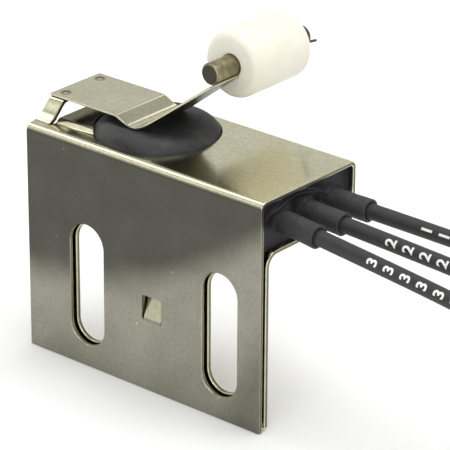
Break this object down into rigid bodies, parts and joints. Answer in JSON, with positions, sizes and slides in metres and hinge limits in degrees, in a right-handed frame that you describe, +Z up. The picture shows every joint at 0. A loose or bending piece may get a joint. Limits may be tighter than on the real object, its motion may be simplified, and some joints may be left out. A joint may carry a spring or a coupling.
{
  "type": "roller lever limit switch",
  "caption": "Sealed limit switch in a folded steel bracket with mounting slots, a leaf lever with an offset roller over a rubber boot, and insulated leads out of one end.",
  "frame": {"origin": "on the mounting face, midway between the two slots", "axes": "+Z up to the lever, +X along the plate to the lead end, -Y out of the mounting face"},
  "size_m": [0.2263, 0.0415, 0.066],
  "materials": {
    "sheet_steel": "bright rolled stainless",
    "pin_steel": "dull turned steel",
    "nylon": "natural ivory nylon, satin",
    "boot_rubber": "matt black",
    "resin": "glossy black",
    "case_plastic": "moulded",
    "plunger_plastic": "moulded",
    "contact_metal": "plated",
    "wire_metal": "tinned copper",
    "sleeve_plastic": "matt black",
    "lead_insulation": "satin black"
  },
  "bodies": {
    "base": {"bracket": "sheet_steel", "boot": "boot_rubber", "resin": "resin", "switch_base": "case_plastic", "switch_cover": "case_plastic", "snap_spring": "pin_steel", "open_contact": "contact_metal", "closed_contact": "contact_metal", "common_terminal": "contact_metal", "open_terminal": "contact_metal", "closed_terminal": "contact_metal", "common_conductor": "wire_metal", "open_conductor": "wire_metal", "closed_conductor": "wire_metal", "common_sleeve": "sleeve_plastic", "open_sleeve": "sleeve_plastic", "closed_sleeve": "sleeve_plastic", "common_lead": "lead_insulation", "open_lead": "lead_insulation", "closed_lead": "lead_insulation", "common_tip": "wire_metal", "open_tip": "wire_metal", "closed_tip": "wire_metal"},
    "lever": {"lever_leaf": "sheet_steel", "roller_axle": "pin_steel", "cotter_pin": "pin_steel"},
    "roller_body": {"roller": "nylon"},
    "plunger_body": {"plunger": "plunger_plastic"},
    "blade": {"moving_blade": "contact_metal", "moving_contact": "contact_metal"}
  },
  "joints": [
    {"name": "lever_flex", "type": "hinge", "parent": "base", "child": "lever", "pos_m": [-0.0276, 0.0135, 0.03255], "axis": [0, 1, 0], "range_deg": [0, 4], "stiffness_Nm_per_rad": 0.9, "deforming": ["boot"]},
    {"name": "roller_spin", "type": "hinge", "parent": "lever", "child": "roller_body", "pos_m": [0.00143, 0.0135, 0.04262], "axis": [0, 1, 0], "continuous": true},
    {"name": "plunger_slide", "type": "slide", "parent": "base", "child": "plunger_body", "axis": [0, 0, -1], "range_m": [0, 0.00085]},
    {"name": "blade_tilt", "type": "hinge", "parent": "base", "child": "blade", "pos_m": [-0.0184, 0.0135, 0.02432], "axis": [0, 1, 0], "range_deg": [0, 2.6], "deforming": ["snap_spring"]}
  ],
  "couplings": [
    {"joint": "plunger_slide", "follows": "lever_flex", "m_per_rad": 0.0121},
    {"joint": "blade_tilt", "follows": "lever_flex", "ratio": 0.645}
  ]
}
